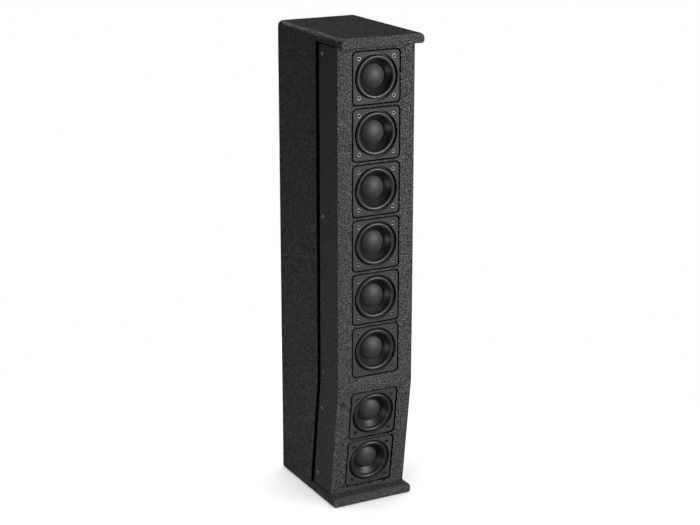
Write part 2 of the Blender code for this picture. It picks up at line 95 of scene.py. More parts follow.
SET_IN = 0.0038  # the front part of a side panel lies this far below its back part
STEP_BEHIND = 0.0645  # from the baffle's face back to the step between the two parts
SLOT = 0.0042  # width of the slot along that step
SLOT_DEEP = 0.0085  # depth of the slot below the set-in face
NOTCH = 0.0017  # height of the joint between the set-in part and each end plate, its faces painted dark as shade
NOTCH_FROM = 0.0050  # the joint starts this far behind the side panel's front edge
BACK_RADIUS = 0.009
PLATE_BACK_FALL = 0.6 * BACK_RADIUS  # how far an end plate's outer face falls at the back
CRISP = 0.0001  # a radius or distance too small to be seen, where an outline turns square
SUNK = 0.0002  # a flange's face lies this far below the baffle's
SEAT_HALF, SEAT_CORNER, SEAT_EASE = 0.0420, 0.0075, 0.0008
SEAT_FLOOR = 0.0029  # depth of the pocket that takes the flange
CUT_OUT_R = 0.0388
PLATE_CORNER = 0.004  # corner radius of the connector panel and its pocket
POCKET_CLEAR = 0.0006
POCKET_EASE = 0.0012

# ---------------------------------------------------------------- sizes of the drivers
# Depths count back from the flange's face, along the driver's own axis.

FLANGE_HALF, FLANGE_CORNER, FLANGE_THICK, FLANGE_EASE = 0.0400, 0.0060, 0.0026, 0.0007
MOUTH_R, MOUTH_INNER_R, MOUTH_ROLL = 0.0372, 0.0364, 0.0008
HOLE_R, HOLE_DEEP, HOLE_EASE = 0.0036, 0.0011, 0.0003  # the sunk holes for the screws
SCREW_OUT = 0.030  # from the flange's centre to a screw, across and along
SCREW_SEAT = 0.0010
# The basket's two faces as (radius, depth), from the flange to the magnet, and one of its windows.
BASKET_INNER = [(0.0366, 0.0027), (0.0366, 0.0053), (0.0336, 0.0053), (0.0328, 0.0066),
                (0.0285, 0.0190), (0.0150, 0.0200)]
BASKET_OUTER = [(0.0376, 0.0027), (0.0376, 0.0068), (0.0350, 0.0080), (0.0300, 0.0217),
                (0.0150, 0.0217)]
WINDOW_LOW, WINDOW_HIGH = (0.020, -0.016, 0.0090), (0.045, 0.016, 0.0185)
WINDOW_CORNER = 0.003
ROLL_R, ROLL_HALF = 0.0312, 0.0036  # radius of the surround's crest, half the roll's width
ROLL_TOP, ROLL_FOOT = -0.0004, 0.0050
ROLL_THICK, ROLL_LIP = 0.0005, 0.0002  # of the rubber in the roll and in its flat outer lip
ROLL_LIP_R = 0.0361  # outer edge of the roll, glued under the flange
ROLL_LAP = 0.0002  # the two halves of a roll overlap by this at the crest
ROLL_INNER_FOOT = 0.0034
ROLL_INNER_LIP = (0.0272, 0.0040)
CONE_RIM_R, CONE_RIM = 0.0282, 0.0041
CONE_NECK_R, CONE_NECK = 0.0170, 0.0148
CONE_BOW = 0.92  # 1 is a straight cone
COIL_R, COIL_INNER_R, COIL_END = 0.0134, 0.0126, 0.0275
COIL_START, COIL_INNER_START = 0.0185, 0.0160
PAPER_SHIFT, PAPER_THICK = 0.0002, 0.0006  # from the paper's face to its back, across and along
CAP_R, CAP_RIM, CAP_TOP = 0.0192, 0.0121, 0.0046
CAP_GLUE = (0.0194, 0.0128)

# ---------------------------------------------------------------- sizes of screws and sockets
# Of the sockets, depths count in from the face of the mounting plate.

DRIVER_SCREW = {"radius": 0.0033, "height": 0.0013, "socket": 0.0021, "depth": 0.0011}
SIDE_SCREW = {"radius": 0.0028, "height": 0.0016, "socket": 0.0011, "depth": 0.0009}
PLATE_SCREW = {"radius": 0.0028, "height": 0.0016, "socket": 0.0014, "depth": 0.0012}
SOCKET_SCREW = {"radius": 0.0017, "height": 0.0009, "socket": 0.0007, "depth": 0.0007}
PLATE_EASE = 0.0004
PLATE_SCREW_IN = 0.006  # from the panel's edge to a screw
PLATE_HOLE_R = 0.0138
SOCKET_HALF_W, SOCKET_HALF_H, SOCKET_CORNER = 0.013, 0.0155, 0.003
SOCKET_THICK = 0.0020
BARREL_R, BARREL_START, BARREL_END = 0.0134, 0.0005, 0.026
MOUTH_CORE_R, MOUTH_RING_R, MOUTH_RIM_R, MOUTH_END = 0.0042, 0.0108, 0.0114, 0.022
KEY_FROM, KEY_TO, KEY_END = 0.0100, 0.0120, 0.016
KEY_WIDTHS = (0.0030, 0.0022, 0.0022)
BLADE_LOW, BLADE_HIGH = (0.0044, -0.0011, 0.006), (0.0050, 0.0011, 0.0215)
BLADE_EASE = 0.0002
SOCKET_SCREW_X, SOCKET_SCREW_Y = 0.0100, 0.0125

# ---------------------------------------------------------------- the studio

FLOOR_RADIUS = 0.75
BACKDROP_RADIUS = 12
WORLD_STRENGTH = 0.03
SUN_AWAY = 3  # where a sun's object stands; its light doesn't depend on it
CAMERA_PLACE = (-1.1904, -2.2647, 1.1424)
CAMERA_DOWN, CAMERA_TURN = 16.52, -27.777
CAMERA_LENS, CAMERA_SENSOR = 85, 36

# ---------------------------------------------------------------- how the meshes are made

SAME = 1e-6  # coordinates this close are the same
FACE_WEIGHT = 80  # shading follows the large flat faces, not the eased edges between them
EASE_ANGLES = (math.pi / 6, math.pi / 3, math.pi / 2)  # the steps round a small eased edge
OUTSIDE = 0.001  # a cutter starts this far outside the face that it cuts


# ---------------------------------------------------------------- mesh helpers


def finish_piece(name, bm, mat, body="cabinet", replaces=(), smooth=30, weighted=False):
    """Makes the object, gives it its material and lets it ride on its body.

    Faces with material_index 1 take the near-black painted shade. Edges that turn by more than smooth
    degrees stay sharp.
    """
    bmesh.ops.recalc_face_normals(bm, faces=bm.faces)
    mesh = bpy.data.meshes.new(name)
    shaded = any(face.material_index for face in bm.faces)
    bm.to_mesh(mesh)
    bm.free()
    mesh.materials.append(mat)
    if shaded:
        # painted shade for the faces marked with material_index 1
        mesh.materials.append(PAINTED_SHADE)
    mesh.shade_smooth()
    mesh.set_sharp_from_angle(angle=math.radians(smooth))
    obj = bpy.data.objects.new(name, mesh)
    bpy.context.scene.collection.objects.link(obj)
    if weighted:
        modifier = obj.modifiers.new("weighted_normal", "WEIGHTED_NORMAL")
        modifier.keep_sharp = True
        modifier.weight = FACE_WEIGHT
    if body:
        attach(obj, body)
    if replaces:
        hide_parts(*replaces)
    return obj


def boolean_apply(bm, cutters, operation="DIFFERENCE"):
    """Applies cutters to a bmesh and returns the result as a new bmesh."""
    base_mesh = bpy.data.meshes.new("work")
    bm.to_mesh(base_mesh)
    bm.free()
    base = bpy.data.objects.new("work", base_mesh)
    bpy.context.scene.collection.objects.link(base)
    tools = []
    for k, cutter in enumerate(cutters):
        bmesh.ops.recalc_face_normals(cutter, faces=cutter.faces)
        mesh = bpy.data.meshes.new("cutter")
        cutter.to_mesh(mesh)
        cutter.free()
        obj = bpy.data.objects.new("cutter", mesh)
        bpy.context.scene.collection.objects.link(obj)
        tools.append(obj)
        modifier = base.modifiers.new(f"cut_{k}", "BOOLEAN")
        modifier.operation = operation
        modifier.object = obj
        modifier.solver = "EXACT"
    graph = bpy.context.evaluated_depsgraph_get()
    result = bmesh.new()
    result.from_mesh(base.evaluated_get(graph).to_mesh())
    for obj in tools + [base]:
        mesh = obj.data
        bpy.data.objects.remove(obj)
        bpy.data.meshes.remove(mesh)
    return result


def box(low, high):
    """A box between two corners."""
    bm = bmesh.new()
    low, high = Vector(low), Vector(high)
    place = Matrix.Translation((low + high) / 2) @ Matrix.Diagonal((*(high - low), 1))
    bmesh.ops.create_cube(bm, size=1, matrix=place)
    return bm


def round_edges(bm, edges, width, segments):
    bmesh.ops.bevel(bm, geom=edges, offset=width, segments=segments, profile=0.5, affect="EDGES")


def edges_along(bm, axis):
    """The edges of a box that run along an axis, 0 to 2."""
    return [e for e in bm.edges if abs(e.verts[0].co[axis] - e.verts[1].co[axis]) > SAME]


def loft(loops):
    """Skins a list of equal loops of points and caps both ends."""
    bm = bmesh.new()
    rings = [[bm.verts.new(p) for p in loop] for loop in loops]
    count = len(rings[0])
    for a, b in zip(rings, rings[1:]):
        for i in range(count):
            j = (i + 1) % count
            bm.faces.new((a[i], a[j], b[j], b[i]))
    bm.faces.new(rings[0])
    bm.faces.new(rings[-1])
    return bm


def full_turn(steps):
    """The angles of a full turn in equal steps, in radians."""
    return [2 * math.pi * i / steps for i in range(steps)]


def lathe(profile, steps=96, closed=True):
    """Spins (radius, depth) points about local Z. A radius of 0 is a pole."""
    bm = bmesh.new()
    rings = []
    for radius, depth in profile:
        if radius == 0:
            rings.append([bm.verts.new((0, 0, depth))])
        else:
            rings.append([bm.verts.new((radius * math.cos(a), radius * math.sin(a), depth))
                          for a in full_turn(steps)])
    pairs = list(zip(rings, rings[1:]))
    if closed:
        pairs.append((rings[-1], rings[0]))
    for a, b in pairs:
        for i in range(steps):
            j = (i + 1) % steps
            corners = [a[i % len(a)], a[j % len(a)], b[j % len(b)], b[i % len(b)]]
            corners = list(dict.fromkeys(corners))
            if len(corners) > 2:
                bm.faces.new(corners)
    return bm


def plug(radius, start, end):
    """A round bar about local Z, from one depth to another."""
    profile = [(0, start), (radius, start), (radius, end), (0, end)]
    return lathe(profile, steps=64, closed=False)


def arc(cx, cy, radius, start, end, steps):
    """Points on an arc, angles in degrees."""
    points = []
    for k in range(steps + 1):
        a = math.radians(start + (end - start) * k / steps)
        points.append((cx + radius * math.cos(a), cy + radius * math.sin(a)))
    return points


def quarter(steps, first=0):
    """The angles of a quarter turn in equal steps, in radians."""
    return [math.radians(90 * k / steps) for k in range(first, steps + 1)]


def round_box(half_x, half_y, radius, depth, steps=8):
    """A rectangle with round corners, at one depth."""
    points = []
    for corner in range(4):
        cx = (half_x - radius) * (1 if corner in (0, 3) else -1)
        cy = (half_y - radius) * (1 if corner < 2 else -1)
        points += arc(cx, cy, radius, 90 * corner, 90 * corner + 90, steps)
    return [(x, y, depth) for x, y in points]


# ---------------------------------------------------------------- materials


class Nodes:
    """Short names for building a node material."""

    def __init__(self, name, colour, roughness, metallic=0.0, specular=0.5):
        self.mat = bpy.data.materials.new(name)
        self.mat.use_nodes = True
        self.tree = self.mat.node_tree
        self.shader = self.tree.nodes["Principled BSDF"]
        self.shader.inputs["Base Color"].default_value = (*colour, 1)
        self.shader.inputs["Roughness"].default_value = roughness
        self.shader.inputs["Metallic"].default_value = metallic
        self.shader.inputs["Specular IOR Level"].default_value = specular
        self.coords = self.add("ShaderNodeTexCoord").outputs["Object"]
        self.normal = None

    def add(self, kind, **values):
        node = self.tree.nodes.new(kind)
        for key, value in values.items():
            setattr(node, key, value)
        return node

    def link(self, a, b):
        self.tree.links.new(a, b)

    def noise(self, scale, detail=3.0, rough=0.55, stretch=None):
        node = self.add("ShaderNodeTexNoise")
        node.inputs["Scale"].default_value = scale
        node.inputs["Detail"].default_value = detail
        node.inputs["Roughness"].default_value = rough
        source = self.coords
        if stretch:
            mapping = self.add("ShaderNodeMapping")
            mapping.inputs["Scale"].default_value = stretch
            self.link(source, mapping.inputs["Vector"])
            source = mapping.outputs["Vector"]
        self.link(source, node.inputs["Vector"])
        return node.outputs["Fac"]

    def voronoi(self, scale, smooth):
        node = self.add("ShaderNodeTexVoronoi", feature="SMOOTH_F1")
        node.inputs["Scale"].default_value = scale
        node.inputs["Smoothness"].default_value = smooth
        self.link(self.coords, node.inputs["Vector"])
        return node.outputs["Distance"]

    def ramp(self, source, low, high, low_at=0.3, high_at=0.7):
        """A colour that goes from low to high as the source goes from low_at to high_at."""
        node = self.add("ShaderNodeValToRGB")
        first, last = node.color_ramp.elements
        first.position, last.position = low_at, high_at
        first.color, last.color = (*low, 1), (*high, 1)
        self.link(source, node.inputs["Fac"])
        return node.outputs["Color"]

    def spread(self, source, low, high, low_at=0.3, high_at=0.7):
        """A number that does the same."""
        node = self.add("ShaderNodeMapRange")
        node.inputs["From Min"].default_value = low_at
        node.inputs["From Max"].default_value = high_at
        node.inputs["To Min"].default_value = low
        node.inputs["To Max"].default_value = high
        self.link(source, node.inputs["Value"])
        return node.outputs["Result"]

    def bump(self, source, strength, distance, invert=False):
        """Adds relief on top of any that is there. The distance is in metres."""
        node = self.add("ShaderNodeBump", invert=invert)
        node.inputs["Strength"].default_value = strength
        node.inputs["Distance"].default_value = distance
        self.link(source, node.inputs["Height"])
        if self.normal:
            self.link(self.normal, node.inputs["Normal"])
        self.normal = node.outputs["Normal"]
        self.link(self.normal, self.shader.inputs["Normal"])

    def colour(self, output):
        self.link(output, self.shader.inputs["Base Color"])

    def roughness(self, output):
        self.link(output, self.shader.inputs["Roughness"])


def grey(value):
    return (value, value, value)


def coating_material():
    """Textured paint: small lumps in relief with pits between them. Its colour follows the lumps'
    height, partly random tone, partly painted highlight on their tops and painted shade between them.
    """
    n = Nodes("coating_look", grey(0.02), 0.5, specular=0.35)
    lumps = n.noise(460, 2.0, 0.6)
    n.bump(n.noise(90, 2.0), 0.3, 0.0010)
    n.bump(n.voronoi(620, 0.3), 1.0, 0.0012, invert=True)
    n.bump(lumps, 1.0, 0.0030)
    # painted highlight on the lumps' tops and painted shade between them, along with random tone
    n.colour(n.ramp(lumps, grey(0.001), grey(0.064), low_at=0.42, high_at=0.62))
    n.roughness(n.spread(lumps, 0.62, 0.40, low_at=0.38, high_at=0.62))
    return n.mat


def painted_shade_material():
    """Painted shade: a near-black colour for the walls and bottoms of the slots, notches, seats and
    screw sockets, where shade falls.
    """
    n = Nodes("painted_shade_look", grey(0.0015), 0.9, specular=0.03)
    n.colour(n.ramp(n.noise(400, 3.0), grey(0.0008), grey(0.0024)))
    n.bump(n.noise(900, 2.0), 0.3, 0.0002)
    return n.mat


def plywood_material():
    n = Nodes("plywood_look", (0.55, 0.40, 0.25), 0.7)
    grain = n.noise(30, 5.0, 0.6, stretch=(1, 1, 12))
    n.colour(n.ramp(grain, (0.42, 0.28, 0.15), (0.66, 0.50, 0.33)))
    n.bump(grain, 0.3, 0.0004)
    return n.mat


def frame_material():
    n = Nodes("driver_frame_look", grey(0.024), 0.55, specular=0.11)
    n.colour(n.ramp(n.noise(420, 3.0), grey(0.017), grey(0.031)))
    n.roughness(n.spread(n.noise(300, 3.0), 0.50, 0.66))
    n.bump(n.noise(700, 3.0), 0.5, 0.0003)
    return n.mat


def rubber_material():
    n = Nodes("surround_rubber_look", grey(0.009), 0.42, specular=0.30)
    n.colour(n.ramp(n.noise(150, 3.0), grey(0.007), grey(0.012)))
    n.roughness(n.spread(n.noise(260, 3.0), 0.37, 0.49))
    n.bump(n.noise(1800, 2.0), 0.15, 0.00006)
    return n.mat


def cone_material():
    n = Nodes("cone_look", grey(0.005), 0.42, specular=0.30)
    n.colour(n.ramp(n.noise(180, 4.0), grey(0.003), grey(0.007)))
    n.roughness(n.spread(n.noise(500, 3.0), 0.36, 0.48))
    n.bump(n.noise(1200, 3.0), 0.25, 0.00010)
    return n.mat


def cap_material():
    n = Nodes("dust_cap_look", grey(0.015), 0.55, specular=0.32)
    n.colour(n.ramp(n.noise(220, 4.0), grey(0.013), grey(0.018)))
    n.roughness(n.spread(n.noise(500, 3.0), 0.56, 0.62))
    n.bump(n.noise(1500, 3.0), 0.2, 0.00006)
    return n.mat


def metal_material(name, colour, roughness, metallic=1.0):
    n = Nodes(name, colour, roughness, metallic)
    darker = tuple(c * 0.8 for c in colour)
    n.colour(n.ramp(n.noise(400, 3.0), darker, colour))
    n.roughness(n.spread(n.noise(900, 3.0), roughness - 0.07, roughness + 0.1))
    n.bump(n.noise(3000, 2.0), 0.15, 0.00004)
    return n.mat


def plastic_material(name, value, roughness):
    n = Nodes(name, grey(value), roughness)
    n.colour(n.ramp(n.noise(120, 3.0), grey(value * 0.85), grey(value * 1.15)))
    n.roughness(n.spread(n.noise(500, 3.0), roughness - 0.06, roughness + 0.08))
    n.bump(n.noise(2500, 2.0), 0.2, 0.00005)
    return n.mat


def board_material():
    n = Nodes("circuit_board_look", (0.02, 0.10, 0.04), 0.45)
    n.colour(n.ramp(n.noise(260, 2.0), (0.012, 0.07, 0.03), (0.03, 0.13, 0.05),
                    low_at=0.45, high_at=0.55))
    n.bump(n.noise(260, 2.0), 0.2, 0.0001)
    return n.mat


def copper_material():
    n = Nodes("copper_look", (0.72, 0.36, 0.18), 0.32, metallic=1.0)
    turns = n.add("ShaderNodeTexWave", bands_direction="Y")
    turns.inputs["Scale"].default_value = 320
    n.link(n.coords, turns.inputs["Vector"])
    n.colour(n.ramp(turns.outputs["Fac"], (0.45, 0.20, 0.09), (0.80, 0.42, 0.22),
                    low_at=0.2, high_at=0.8))
    n.bump(turns.outputs["Fac"], 0.6, 0.0004)
    return n.mat


def foam_material():
    n = Nodes("wadding_look", grey(0.06), 0.95, specular=0.2)
    n.colour(n.ramp(n.noise(300, 6.0, 0.7), grey(0.03), grey(0.10)))
    n.bump(n.noise(260, 6.0, 0.7), 0.8, 0.002)
    return n.mat


COATING = coating_material()
FRAME_PAINT = frame_material()
RUBBER = rubber_material()
CONE = cone_material()
CAP = cap_material()
SCREW = metal_material("screw_look", grey(0.13), 0.46)
DARK_SCREW = metal_material("dark_screw_look", grey(0.10), 0.38)
BRIGHT_SCREW = metal_material("bright_screw_look", grey(0.88), 0.32)
# painted shade: near-black faces where shade falls in the slots, notches, seats and screw sockets
PAINTED_SHADE = painted_shade_material()
SOCKET = plastic_material("socket_look", 0.018, 0.36)
CABLE = plastic_material("cable_look", 0.02, 0.5)
PANEL = metal_material("panel_look", grey(0.03), 0.42, metallic=0.2)
CONTACT = metal_material("contact_look", (0.75, 0.55, 0.25), 0.3)


# ---------------------------------------------------------------- cabinet


def lean_y(z, behind=0.0):
    """Y of the line that follows the baffle's face a set distance behind it."""
    turn = KINK + behind * math.tan(LEAN / 2)
    return BAFFLE + behind + max(0.0, turn - z) * math.tan(LEAN)


def plate_section(y, half, inner_z, outer_z, inner_r, outer_r):
    """Outline of an end plate at one y. The outer face is the one away from the cabinet."""
    up = 1 if outer_z > inner_z else -1
    points = []
    for x_side, z, z_in, radius, start in (
        (1, inner_z, up, inner_r, -90), (1, outer_z, -up, outer_r, 0),
        (-1, outer_z, -up, outer_r, 90), (-1, inner_z, up, inner_r, 180),
    ):
        centre_x, centre_z = x_side * (half - radius), z + z_in * radius
        for x, dz in arc(centre_x, 0, radius, start, start + 90, steps=6):
            points.append((x, y, centre_z + up * dz))
    return points


def end_plate(name, front, low, high, inner_r, outer_r, ease):
    """An end plate. It is flush with the side panels behind the step and rounded in front of it."""
    outer_z, inner_z = (high, low) if name == "top_panel" else (low, high)
    up = 1 if outer_z > inner_z else -1
    step = lean_y(inner_z, STEP_BEHIND)
    loops = []
    for a in quarter(4):
        inset = ease * (1 - math.sin(a))
        loops.append(plate_section(
            front + ease * (1 - math.cos(a)), HALF_WIDTH - inset, inner_z + up * inset,
            outer_z - up * inset, inner_r - inset, outer_r - inset))
    loops.append(plate_section(step - CRISP, HALF_WIDTH, inner_z, outer_z, inner_r, outer_r))
    loops.append(plate_section(step, HALF_WIDTH, inner_z, outer_z, CRISP, outer_r))
    for a in quarter(8):
        side, fall = BACK_RADIUS * (1 - math.cos(a)), PLATE_BACK_FALL * (1 - math.cos(a))
        loops.append(plate_section(
            BACK - BACK_RADIUS * (1 - math.sin(a)), HALF_WIDTH - side, inner_z,
            outer_z - up * fall, CRISP, outer_r))
    finish_piece(name + "_skin", loft(loops), COATING, replaces=[name], weighted=True)


# The faces of a side panel painted with shade, in its slot and notch: edges count along
# side_profile's outline, levels up its loft.
SHADED_SLOT_EDGES = range(13, 18)
SHADED_NOTCH_EDGES = range(18, 22)
SHADED_NOTCH_LEVELS = (0, 1, 4, 5)


def side_profile(side, z, inset=0.0):
    """The outline of a side panel at height z, from the inner back corner round the outside.

    With an inset, the set-in face lies deeper behind its front edge, which makes the notch.
    """
    step = lean_y(z, STEP_BEHIND)
    slot_front = lean_y(z, STEP_BEHIND - SLOT)
    front = lean_y(z)
    outer = HALF_WIDTH
    insert = HALF_WIDTH - SET_IN
    floor = insert - SLOT_DEEP
    face = insert - inset
    step_r, slot_r, front_r = 0.0009, 0.0006, 0.0018
    notch = front + NOTCH_FROM
    points = [(INNER, BACK)]
    points += arc(outer - BACK_RADIUS, BACK - BACK_RADIUS, BACK_RADIUS, 90, 0, steps=8)
    points += arc(outer - step_r, step + step_r, step_r, 0, -90, steps=4)
    points += [(floor, step), (floor - CRISP, slot_front)]
    points += arc(face - slot_r, slot_front - slot_r, slot_r, 90, 0, steps=3)
    points += [(face, notch), (insert, notch - CRISP)]
    points += arc(insert - front_r, front + front_r, front_r, 0, -90, steps=5)
    points += [(INNER, front)]
    return [(side * x, y, z) for x, y in points]


def side_skin(word, side):
    """A side panel, lofted up from the base, with a level that follows the kink of the front."""
    near = CRISP / 2
    deep = SLOT_DEEP - near
    loops = [side_profile(side, z, inset) for z, inset in (
        (BASE_TOP, deep), (BASE_TOP + NOTCH, deep), (BASE_TOP + NOTCH + near, 0))]
    straight = side_profile(side, TOP_LOW - NOTCH - near)
    rise = math.tan(LEAN / 2)
    loops.append([(x, y, KINK + rise * min(y - BAFFLE, STEP_BEHIND)) for x, y, z in straight])
    loops.append(straight)
    loops += [side_profile(side, z, deep) for z in (TOP_LOW - NOTCH, TOP_LOW)]
    bm = loft(loops)
    for number, face in enumerate(bm.faces):
        level, edge = divmod(number, len(straight))
        notch = level in SHADED_NOTCH_LEVELS and edge in SHADED_NOTCH_EDGES
        # painted shade: the slot's and the notch's faces take the near-black material
        face.material_index = int(level < len(loops) - 1 and (edge in SHADED_SLOT_EDGES or notch))
    name = f"side_panel_{word}"
    finish_piece(name + "_skin", bm, COATING, replaces=[name], weighted=True)


def driver_frames():
    """For each driver, a matrix whose +Z runs back from the middle of its flange's face."""
    places = {}
    for n in DRIVERS:
        outward = Vector(JOINTS[f"driver_{n}_stroke"]["axis"]).normalized()
        depth = -outward
        right = Vector((1, 0, 0))
        down = depth.cross(right)
        points = [v.co for v in NODES[f"driver_{n}_frame"].data.vertices]
        mids = []
        for direction in (right, down):
            along = [p.dot(direction) for p in points]
            mids.append(direction * (min(along) + max(along)) / 2)
        face = min(p.dot(depth) for p in points)
        centre = mids[0] + mids[1] + depth * face
        facing = Matrix((right, down, depth)).transposed().to_4x4()
        places[n] = Matrix.Translation(centre) @ facing
    return places


PLACES = driver_frames()


def seat_cutters():
    """The routed pocket with its eased rim, and the round cut-out behind it."""
    flare = 1.6 * SEAT_EASE  # the pocket's cutter widens outside the face, to cut it cleanly
    rim = [(flare, -SUNK - 0.25 * SEAT_EASE)]
    rim += [(SEAT_EASE * (1 - math.sin(a)), -SUNK + SEAT_EASE * (1 - math.cos(a)))
            for a in quarter(4, first=1)]
    rim.append((0, SEAT_FLOOR))
    pocket = loft([round_box(SEAT_HALF + wider, SEAT_HALF + wider, SEAT_CORNER + wider, depth)
                   for wider, depth in rim])
    return [pocket, plug(CUT_OUT_R, -OUTSIDE, 2 * BOARD)]


def baffle(name, numbers):
    """A baffle board, cut in the frame of its first driver. The seats' walls and floors carry painted
    shade.
    """
    mitre = BOARD * math.tan(LEAN / 2)
    far = TOP_LOW if name == "upper_baffle" else BASE_TOP
    outline = [(BAFFLE, KINK), (BAFFLE + BOARD, KINK + mitre), (lean_y(far, BOARD), far),
               (lean_y(far), far)]
    bm = loft([[(x, y, z) for y, z in outline] for x in (-INNER, INNER)])
    place = PLACES[numbers[0]]
    local = place.inverted()
    bm.transform(local)
    cutters = []
    for n in numbers:
        for cutter in seat_cutters():
            cutter.transform(local @ PLACES[n])
            cutters.append(cutter)
    bm = boolean_apply(bm, cutters)
    # painted shade: faces below the seat's rim and short of the board's back take the near-black
    # material
    below_rim, above_back = 0.0003, BOARD - 0.001
    for face in bm.faces:
        face.material_index = int(below_rim < face.calc_center_median().z < above_back)
    bm.transform(place)
    finish_piece(name + "_skin", bm, COATING, replaces=[name], weighted=True)


def rear_skin():
    """The rear board, with a pocket for the connector panel."""
    low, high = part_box("connector_panel")
    board_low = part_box("rear_panel")[0]
    bm = box((-INNER, board_low.y, BASE_TOP), (INNER, BACK, TOP_LOW))
    clear, deeper, past = POCKET_CLEAR, 0.003, 0.01
    pocket = box((low.x - clear, low.y - deeper, low.z - clear),
                 (high.x + clear, BACK + past, high.z + clear))
    round_edges(pocket, edges_along(pocket, 1), PLATE_CORNER, 4)
    bm = boolean_apply(bm, [pocket])
    rim = [e for e in bm.edges if all(
        abs(v.co.y - BACK) < SAME and abs(v.co.x) < INNER - SAME
        and BASE_TOP + SAME < v.co.z < TOP_LOW - SAME for v in e.verts)]
    round_edges(bm, rim, POCKET_EASE, 3)
    finish_piece("rear_panel_skin", bm, COATING, replaces=["rear_panel"], weighted=True)


def cabinet():
    end_plate("top_panel", LOW.y, TOP_LOW, HIGH.z, inner_r=0.0045, outer_r=0.0090, ease=0.0014)
    end_plate("bottom_panel", BASE_FRONT, LOW.z, BASE_TOP,
              inner_r=0.0070, outer_r=0.0045, ease=0.0022)
    side_skin("left", -1)
    side_skin("right", 1)
    baffle("upper_baffle", UPPER_DRIVERS)
    baffle("lower_baffle", LOWER_DRIVERS)
    rear_skin()


# ---------------------------------------------------------------- drivers


def screw_head(radius, height, socket, depth):
    """A flat faced head with a hexagonal socket, its seat at z = 0 and its top towards -Z.

    The socket's walls and bottom carry painted shade.
    """
    angles = full_turn(36)
    ease = 0.12 * radius
    chamfer = 0.3 * ease
    rings = [(radius, 0), (radius, ease - height)]
    rings += [(radius - ease * (1 - math.cos(a)), ease - height - ease * math.sin(a))
              for a in EASE_ANGLES]
    rings.append((socket + 0.5 * ease, -height))
    loops = [[(r * math.cos(a), r * math.sin(a), z) for a in angles] for r, z in rings]
    half_flat = math.pi / 6
    for z in (chamfer - height, depth - height):
        hexagon = []
        for a in angles:
            r = socket * math.cos(half_flat) / math.cos(a % (math.pi / 3) - half_flat)
            hexagon.append((r * math.cos(a), r * math.sin(a), z))
        loops.append(hexagon)
    bm = loft(loops)
    # painted shade on the socket's walls and bottom
    walls_from = 0.35 * ease - height
    for face in bm.faces:
        middle = face.calc_center_median()
        inner = math.hypot(middle.x, middle.y) < socket
        face.material_index = int(inner and middle.z > walls_from and len(face.verts) == 4)
    caps = [face for face in bm.faces if len(face.verts) > 4]
    min(caps, key=lambda face: face.calc_area()).material_index = 1
    return bm


def flange_piece(n):
    """The pressed square flange: eased edges, sunk screw holes and a rolled mouth."""
    ease = FLANGE_EASE
    rim = [(0, FLANGE_THICK), (0, ease)]
    rim += [(-ease * (1 - math.cos(a)), ease * (1 - math.sin(a))) for a in EASE_ANGLES]
    slab = loft([round_box(FLANGE_HALF + wider, FLANGE_HALF + wider, FLANGE_CORNER + wider, depth)
                 for wider, depth in rim])
    above, below = -2 * OUTSIDE, 4 * OUTSIDE
    mouth = [(0, above), (MOUTH_R, above), (MOUTH_R, 0)]
    mouth += [(MOUTH_R - MOUTH_ROLL * math.sin(a), MOUTH_ROLL * (1 - math.cos(a)))
              for a in (0.5, 1.0, math.pi / 2)]
    mouth += [(MOUTH_INNER_R, below), (0, below)]
    cutters = [lathe(mouth, closed=False)]
    hole = [(0, -OUTSIDE), (HOLE_R + HOLE_EASE, -OUTSIDE), (HOLE_R + HOLE_EASE, 0),
            (HOLE_R, HOLE_EASE), (HOLE_R, HOLE_DEEP), (0, HOLE_DEEP)]
    for sx, sy in CORNERS:
        sink = lathe(hole, steps=32, closed=False)
        bmesh.ops.translate(sink, verts=sink.verts, vec=(sx * SCREW_OUT, sy * SCREW_OUT, 0))
        cutters.append(sink)
    bm = boolean_apply(slab, cutters)
    bm.transform(PLACES[n])
    name = f"driver_{n}_frame"
    finish_piece(name + "_flange", bm, FRAME_PAINT, replaces=[name], weighted=True)


def basket_piece(n):
    """The basket behind the flange, with four windows."""
    bm = lathe(BASKET_INNER + BASKET_OUTER[::-1], steps=64)
    cutters = []
    for k in range(4):
        cutter = box(WINDOW_LOW, WINDOW_HIGH)
        round_edges(cutter, edges_along(cutter, 0), WINDOW_CORNER, 3)
        cutter.transform(Matrix.Rotation(math.radians(45 + 90 * k), 4, "Z"))
        cutters.append(cutter)
    bm = boolean_apply(bm, cutters)
    bm.transform(PLACES[n])
    finish_piece(f"driver_{n}_basket", bm, FRAME_PAINT, weighted=True)


def roll(start, end, rise):
    """Points on the roll's face; 0 degrees is its outer foot, 90 its crest, 180 its inner foot."""
    steps = 10
    points = []
    for k in range(steps + 1):
        a = math.radians(start + (end - start) * k / steps)
        points.append((ROLL_R + ROLL_HALF * math.cos(a), ROLL_TOP + rise * (1 - math.sin(a))))
    return points


def surround_pieces(n):
    """The half roll: its outer half is fixed to the flange; its inner half, which meets the cone,
    rides on no body.
    """
    place = PLACES[n]
    name = f"driver_{n}_surround"
    crest = (ROLL_R - ROLL_LAP, ROLL_TOP)
    face = [(ROLL_LIP_R, ROLL_FOOT)] + roll(0, 90, ROLL_FOOT - ROLL_TOP) + [crest]
    lip = ROLL_FOOT + ROLL_LIP
    back = [(ROLL_LIP_R, lip), (face[1][0] - 0.6 * ROLL_THICK, lip)]
    back += [(r - ROLL_THICK, z + 0.9 * ROLL_THICK) for r, z in face[2:]]
    outer = lathe(face + back[::-1])
    outer.transform(place)
    finish_piece(name + "_outer", outer, RUBBER, replaces=[name], smooth=50)
    last = 172  # degrees; there the roll runs on into the flat lip on the cone
    curve = roll(90, last, ROLL_INNER_FOOT - ROLL_TOP)[1:]
    face = [crest] + [(r - ROLL_LAP, z) for r, z in curve] + [ROLL_INNER_LIP]
    back = [(r + ROLL_LAP / 2, z + ROLL_THICK) for r, z in face]
    inner = lathe(face + back[::-1])
    inner.transform(place)
    piece = finish_piece(name + "_inner", inner, RUBBER, body=None, smooth=50)
    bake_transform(piece)


